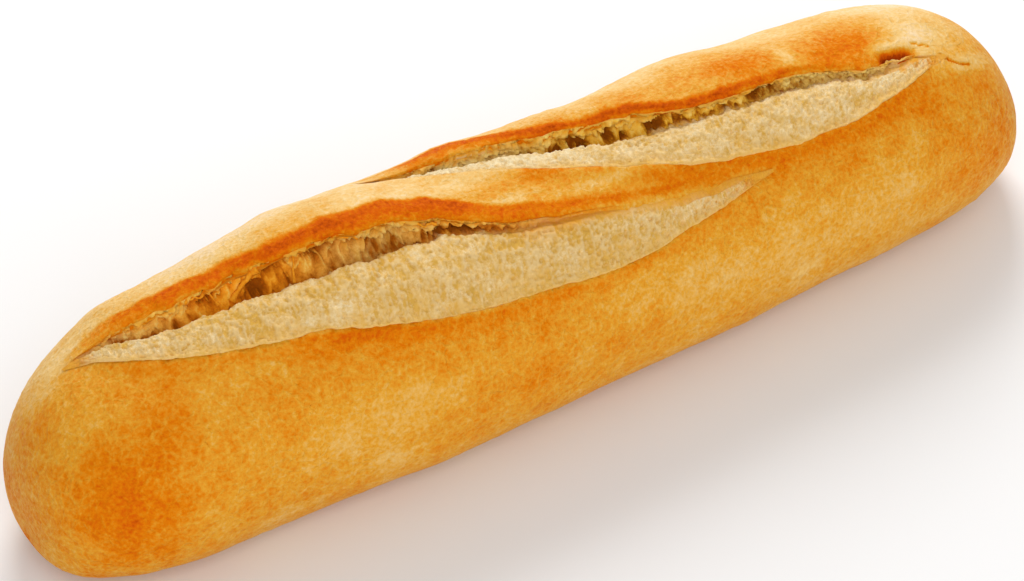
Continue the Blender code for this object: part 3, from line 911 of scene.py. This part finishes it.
def threads_piece(name, slash, threads, material):
    """Threads of crumb across a torn wall, each a thin tube that bows outwards between its two ends.

    A thread's radius is largest at its ends, like pulled dough, and its skin is a little lumpy.
    """
    threads = np.array(threads)
    t = np.linspace(0, 1, THREAD_COLUMNS)[None, :]
    x = threads[:, [0]] * (1 - t) + threads[:, [2]] * t
    up = threads[:, [1]] * (1 - t) + threads[:, [3]] * t
    profile = np.stack([np.stack(knot) for knot in crumb_profile(slash, x)])
    number = WALL_FOOT + up * (WALL_TOP - WALL_FOOT)
    below = np.floor(number).astype(int)
    part = number - below
    tube, column = np.indices(x.shape)
    angle, out, back = (
        profile[below, axis, tube, column] * (1 - part) + profile[below + 1, axis, tube, column] * part
        for axis in range(3)
    )
    wander = rough(np.stack([x, up * 0.006, 0 * x + tube], -1), THREAD_WAVE, slash["seed"] + 20, 2)
    back = back + 0.0002 - THREAD_BOW * np.sin(np.pi * t) + THREAD_WANDER * wander
    middle = surface(x, angle, out + dough_swells(x, angle) + 0.00025 * wander, back)
    ahead = np.gradient(middle, axis=1)
    ahead /= np.linalg.norm(ahead, axis=-1, keepdims=True)
    outwards = np.array([0.0, -0.6, 0.8])
    side = np.cross(ahead, outwards)
    side /= np.linalg.norm(side, axis=-1, keepdims=True)
    other = np.cross(ahead, side)
    turn = np.linspace(0, 2 * np.pi, THREAD_ROWS + 1)[:-1]
    thickness = THREAD_RADIUS + THREAD_FLARE * np.abs(2 * t - 1) ** 2.5 + THREAD_LUMPS * wander
    radius = threads[:, [4]] * thickness
    ring = side[:, :, None] * np.cos(turn)[:, None] + other[:, :, None] * np.sin(turn)[:, None]
    places = middle[:, :, None] + ring * radius[:, :, None, None]
    flat = np.zeros(places.shape[:3])
    values = {"shaded_depth": flat + THREAD_TONE, "wall": flat + 1}
    values |= {key: flat for key in ("olive_shade", "fibre", "warm", "rim", "healed")}
    return add_piece(name, tube_mesh(name, places, values), material)


# ------------------------------------------------------------------ materials


class Nodes:
    """Short calls that add nodes to one material."""

    def __init__(self, name):
        self.material = bpy.data.materials.new(name)
        self.material.use_nodes = True
        self.tree = self.material.node_tree
        self.shader = self.tree.nodes["Principled BSDF"]

    def add(self, kind, inputs=(), **settings):
        """A node with these settings, and with values or links for its inputs."""
        node = self.tree.nodes.new(kind)
        for key, value in settings.items():
            setattr(node, key, value)
        for key, value in dict(inputs).items():
            self.put(node.inputs[key], value)
        return node

    def put(self, socket, value):
        """A link if value is a socket, otherwise the socket's own value."""
        if isinstance(value, bpy.types.NodeSocket):
            self.tree.links.new(value, socket)
        else:
            socket.default_value = value

    def place(self):
        """Where the surface is, in metres."""
        return self.add("ShaderNodeTexCoord").outputs["Object"]

    def value(self, name):
        """A value that the mesh carries at each vertex."""
        return self.add("ShaderNodeAttribute", attribute_name=name).outputs["Fac"]

    def noise(self, size, detail=4.0, roughness=0.5, stretch=(1, 1, 1), distortion=0.0):
        """Noise whose features are about size metres across; stretch scales its axes."""
        mapping = self.add("ShaderNodeMapping", {"Vector": self.place(), "Scale": stretch})
        node = self.add(
            "ShaderNodeTexNoise",
            {"Vector": mapping.outputs[0], "Scale": 1 / size, "Detail": detail,
             "Roughness": roughness, "Distortion": distortion},
        )
        return node.outputs["Fac"]

    def cells(self, size, feature="F1", warp=0.0):
        """Distances in a net of cells about size metres across, bent by noise that moves it by up to warp.

        They are the distances to the nearest cell's middle, or with DISTANCE_TO_EDGE to its edge.
        """
        bend = self.add("ShaderNodeTexNoise", {"Vector": self.place(), "Scale": 0.6 / size, "Detail": 3.0})
        moved = self.add(
            "ShaderNodeVectorMath",
            {0: bend.outputs["Color"], 1: (warp, warp, warp), 2: self.place()},
            operation="MULTIPLY_ADD",
        )
        node = self.add(
            "ShaderNodeTexVoronoi", {"Vector": moved.outputs[0], "Scale": 1 / size}, feature=feature
        )
        return node.outputs["Distance"]

    def apart(self, point):
        """The distance from a point, in metres."""
        node = self.add("ShaderNodeVectorMath", {0: self.place(), 1: point}, operation="DISTANCE")
        return node.outputs["Value"]

    def math(self, operation, *values, clamp=False):
        """The result of a sum on one or two values."""
        node = self.add("ShaderNodeMath", enumerate(values), operation=operation, use_clamp=clamp)
        return node.outputs[0]

    def span(self, value, low, high, to_low=0.0, to_high=1.0):
        """value, moved from the range low..high to to_low..to_high and kept inside it."""
        inputs = {"Value": value, "From Min": low, "From Max": high, "To Min": to_low, "To Max": to_high}
        return self.add("ShaderNodeMapRange", inputs).outputs["Result"]

    def ramp(self, value, stops):
        """A colour for each value, blended between stops of (value, colour)."""
        node = self.add("ShaderNodeValToRGB", {"Fac": value})
        elements = node.color_ramp.elements
        while len(elements) < len(stops):
            elements.new(0.5)
        for element, (position, colour) in zip(elements, stops):
            element.position = position
            element.color = (*colour, 1)
        return node.outputs["Color"]

    def mix(self, share, first, second):
        """The first colour where share is 0, the second where it is 1."""
        node = self.add("ShaderNodeMix", data_type="RGBA")
        for socket, value in zip((node.inputs[0], node.inputs[6], node.inputs[7]), (share, first, second)):
            self.put(socket, value)
        return node.outputs[2]

    def bump(self, height, distance, strength, normal=None):
        """A normal tilted by the slope of height, whose full range stands for distance in metres."""
        inputs = {"Height": height, "Distance": distance, "Strength": strength}
        if normal is not None:
            inputs["Normal"] = normal
        return self.add("ShaderNodeBump", inputs).outputs["Normal"]


# Colours of the crust by its bake, of torn crumb by how deep it lies, darker deeper down as painted shade,
# and of the bed by its tone.
# The palest, peach-white stop is reached mostly on the top of the back, where it partly paints a sheen.
GOLD_STOPS = (
    (0.00, (0.93, 0.69, 0.40)),
    (0.25, (0.86, 0.53, 0.14)),
    (0.46, (0.80, 0.36, 0.012)),
    (0.64, (0.77, 0.220, 0.002)),
    (0.82, (0.69, 0.112, 0.001)),
    (1.00, (0.42, 0.048, 0.001)),
)
# The torn crumb's own orange or yellow at the front, darkening with depth as painted shade.
ORANGE_TORN = (
    (0.00, (1.00, 0.60, 0.11)),
    (0.16, (1.00, 0.46, 0.035)),
    (0.36, (0.90, 0.32, 0.012)),
    (0.65, (0.62, 0.17, 0.005)),
    (1.00, (0.34, 0.08, 0.003)),
)
YELLOW_TORN = (
    (0.00, (1.00, 0.70, 0.17)),
    (0.22, (0.98, 0.60, 0.08)),
    (0.45, (0.88, 0.43, 0.025)),
    (0.70, (0.52, 0.18, 0.006)),
    (1.00, (0.25, 0.06, 0.002)),
)
# Painted shade: the grey olive of pale crumb lying in shade, darker with depth.
OLIVE_SHADE_TORN = (
    (0.00, (0.86, 0.70, 0.27)),
    (0.25, (0.68, 0.52, 0.15)),
    (0.50, (0.46, 0.32, 0.06)),
    (0.75, (0.28, 0.15, 0.02)),
    (1.00, (0.18, 0.07, 0.004)),
)
PALE_BED = ((0.37, (0.97, 0.80, 0.50)), (0.48, (0.88, 0.61, 0.26)), (0.59, (0.75, 0.43, 0.08)))
GOLDEN_CRUMB = ((0.35, (0.75, 0.28, 0.008)), (0.65, (0.86, 0.42, 0.040)))
UNDER_EAR = ((0.3, (0.56, 0.17, 0.006)), (0.7, (0.86, 0.38, 0.020)))
PALE_FLOOR = ((0.3, (0.86, 0.86, 0.86)), (0.7, (0.87, 0.87, 0.87)))
PALE_FIBRE = (0.98, 0.82, 0.52, 1)
GOLDEN_RIM = (0.86, 0.50, 0.11, 1)
# Painted shade: the colour of the deepest hollows.
DEEPEST_SHADE = (0.30, 0.08, 0.004, 1)

# Sizes of what the materials draw, in metres.
MOTTLE, PATCH, SPECK, WRINKLE, SKIN, RIPPLE = 0.0009, 0.005, 0.0015, 0.0027, 0.0007, 0.0026
CRUMB_GRAIN, CRUMB_SKIN = 0.0009, 0.0005
RING_WIDTH = 0.0008  # of the ring that a burst blister leaves


def crust_material():
    """Baked crust: the browner, the darker and redder, and the less glossy.

    Its bake is mottled, patched and specked by noise, and paler along fine wrinkles and on the rings that
    burst blisters left. The same features are its bumps.
    """
    n = Nodes("baked crust")
    mottle = n.noise(MOTTLE, 5, 0.70)
    patches = n.noise(PATCH, 5, 0.60)
    specks = n.cells(SPECK)
    wrinkles = n.span(n.cells(WRINKLE, "DISTANCE_TO_EDGE", warp=0.004), 0.0, 0.16, 1.0, 0.0)
    bake = n.math("ADD", n.value("bake"), n.span(mottle, 0.3, 0.7, -0.11, 0.11))
    bake = n.math("ADD", bake, n.span(patches, 0.3, 0.7, -0.065, 0.065))
    bake = n.math("ADD", bake, n.span(specks, 0.1, 0.6, 0.03, -0.04))
    bake = n.math("ADD", bake, n.math("MULTIPLY", wrinkles, -0.055))
    for x, turn, radius in BLISTERS:
        centre = surface(np.array(x), np.array(math.radians(turn)))
        off_ring = n.math("ABSOLUTE", n.math("SUBTRACT", n.apart(tuple(map(float, centre))), radius))
        ring = n.span(off_ring, 0.0, RING_WIDTH, 1.0, 0.0)
        bake = n.math("ADD", bake, n.math("MULTIPLY", ring, -0.12))
        wrinkles = n.math("ADD", wrinkles, ring)
    colour = n.ramp(bake, GOLD_STOPS)
    n.put(n.shader.inputs["Base Color"], n.mix(n.value("torn"), colour, n.ramp(mottle, UNDER_EAR)))
    n.put(n.shader.inputs["Roughness"], n.span(mottle, 0.3, 0.7, 0.52, 0.66))
    fine = n.bump(n.noise(SKIN, 5, 0.70), 0.00030, 0.9)
    ripples = n.noise(RIPPLE, 4, 0.6, stretch=(0.6, 1, 1), distortion=0.6)
    coarse = n.bump(ripples, 0.0009, 0.6, fine)
    creased = n.bump(wrinkles, 0.00016, 0.6, coarse)
    n.put(n.shader.inputs["Normal"], n.bump(specks, 0.00012, 0.35, creased))
    n.put(n.shader.inputs["Specular IOR Level"], n.span(bake, 0.25, 0.65, 0.60, 0.02))
    return n.material


def crumb_material(name, torn_stops):
    """Torn crumb: pale and matt on its bed, with golden flecks and paler fibres.

    The torn wall's colours go from torn_stops to the grey olive of pale crumb in shade by the olive value,
    which paints the shade on the lower wall. Bed and wall darken with depth as painted shade, most in the
    deepest hollows. Where the crumb has baked over, it turns as golden as the crust beside it.
    """
    n = Nodes(name)
    grain = n.noise(CRUMB_GRAIN, 6, 0.78)
    tone = n.math("ADD", n.math("MULTIPLY", n.value("warm"), 0.4), n.math("MULTIPLY", grain, 0.6))
    fibre = n.span(n.value("fibre"), 0.25, 0.75)
    pale = n.mix(n.math("MULTIPLY", fibre, 0.36), n.ramp(tone, PALE_BED), PALE_FIBRE)
    pale = n.mix(n.math("MULTIPLY", n.value("rim"), 0.6), pale, GOLDEN_RIM)
    # Painted shade: the crumb darkens with depth, and most in its deepest hollows.
    depth = n.math("ADD", n.value("shaded_depth"), n.span(grain, 0.3, 0.7, -0.2, 0.2), clamp=True)
    torn = n.mix(n.value("olive_shade"), n.ramp(depth, torn_stops), n.ramp(depth, OLIVE_SHADE_TORN))
    colour = n.mix(n.value("wall"), pale, torn)
    colour = n.mix(n.math("MULTIPLY", n.value("healed"), 0.92), colour, n.ramp(grain, GOLDEN_CRUMB))
    dark = n.span(depth, 0.7, 1.1, 0.0, 0.8)
    n.put(n.shader.inputs["Base Color"], n.mix(dark, colour, DEEPEST_SHADE))
    n.shader.inputs["Roughness"].default_value = 0.90
    n.shader.inputs["Specular IOR Level"].default_value = 0.03
    n.put(n.shader.inputs["Normal"], n.bump(n.noise(CRUMB_SKIN, 6, 0.72), 0.00032, 1.0))
    return n.material


def floor_material():
    """A matt pale grey, very slightly uneven."""
    n = Nodes("pale floor")
    n.put(n.shader.inputs["Base Color"], n.ramp(n.noise(0.08, 2), PALE_FLOOR))
    n.shader.inputs["Roughness"].default_value = 0.7
    return n.material


# ------------------------------------------------------------------ floor, camera and light


def lay_floor():
    """A plain pale floor, 6 m across, at the height of the loaf's base."""
    mesh = bpy.data.meshes.new("floor")
    half = 3.0
    level = float(loaf_low[2])
    corners = [(-half, -half, level), (half, -half, level), (half, half, level), (-half, half, level)]
    mesh.from_pydata(corners, [], [(0, 1, 2, 3)])
    floor = bpy.data.objects.new("floor", mesh)
    bpy.context.scene.collection.objects.link(floor)
    mesh.materials.append(floor_material())


VIEW_AZIMUTH, VIEW_ELEVATION = -33.447, 42.069  # degrees from straight in front, and above the floor
VIEW_DISTANCE = 0.75034
VIEW_CENTRE = Vector((0, 0, 0.025))
VIEW_LEFT, VIEW_DOWN = 0.00529, 0.00818  # how far the camera aims to the left of and below that centre
SENSOR_MM, LENS_MM = 36.0, 117.31
LIGHT_CENTRE = Vector((0, 0, 0.03))


def aim(azimuth, elevation):
    """Unit vectors to the right of, above and behind a viewer who looks from that side."""
    a, e = math.radians(azimuth), math.radians(elevation)
    back = Vector((math.sin(a) * math.cos(e), -math.cos(a) * math.cos(e), math.sin(e)))
    right = Vector((math.cos(a), math.sin(a), 0))
    return right, back.cross(right), back


def turned(right, up, back, place):
    """The matrix of something at place whose X, Y and Z axes are right, up and back."""
    matrix = Matrix((right, up, back)).transposed().to_4x4()
    matrix.translation = place
    return matrix


def set_camera():
    """A long lens that looks down on the loaf from the front left."""
    right, up, back = aim(VIEW_AZIMUTH, VIEW_ELEVATION)
    target = VIEW_CENTRE - VIEW_LEFT * right - VIEW_DOWN * up
    lens = bpy.data.cameras.new("camera")
    lens.sensor_width = SENSOR_MM
    lens.lens = LENS_MM
    lens.clip_start, lens.clip_end = 0.01, 20
    camera = bpy.data.objects.new("camera", lens)
    camera.matrix_world = turned(right, up, back, target + VIEW_DISTANCE * back)
    bpy.context.scene.collection.objects.link(camera)
    bpy.context.scene.camera = camera


def add_light(name, azimuth, elevation, distance, size, power):
    """A square soft light that faces the loaf from that side. Distance and size are in metres."""
    right, up, back = aim(azimuth, elevation)
    light = bpy.data.lights.new(name, "AREA")
    light.shape = "SQUARE"
    light.size, light.energy = size, power
    lamp = bpy.data.objects.new(name, light)
    lamp.matrix_world = turned(right, up, back, LIGHT_CENTRE + distance * back)
    bpy.context.scene.collection.objects.link(lamp)


def light_scene():
    """Even light from all round, a soft light behind the loaf and a larger one in front of it."""
    world = bpy.data.worlds.new("studio")
    bpy.context.scene.world = world
    world.use_nodes = True
    background = world.node_tree.nodes["Background"]
    background.inputs["Color"].default_value = (1, 1, 1, 1)
    background.inputs["Strength"].default_value = 0.50
    add_light("back", 152, 38, 1.1, 0.55, 8.8)
    add_light("front", -20, 36, 1.3, 1.2, 8.7)
    bpy.context.scene.view_settings.view_transform = "Standard"


# ------------------------------------------------------------------ making


set_camera()
light_scene()
lay_floor()
crust_piece(crust_material())
orange_crumb = crumb_material("orange torn crumb", ORANGE_TORN)
crumb_piece("left_crumb", LEFT_SLASH, orange_crumb)
crumb_piece("right_crumb", RIGHT_SLASH, crumb_material("yellow torn crumb", YELLOW_TORN))
threads_piece("left_threads", LEFT_SLASH, LEFT_THREADS, orange_crumb)
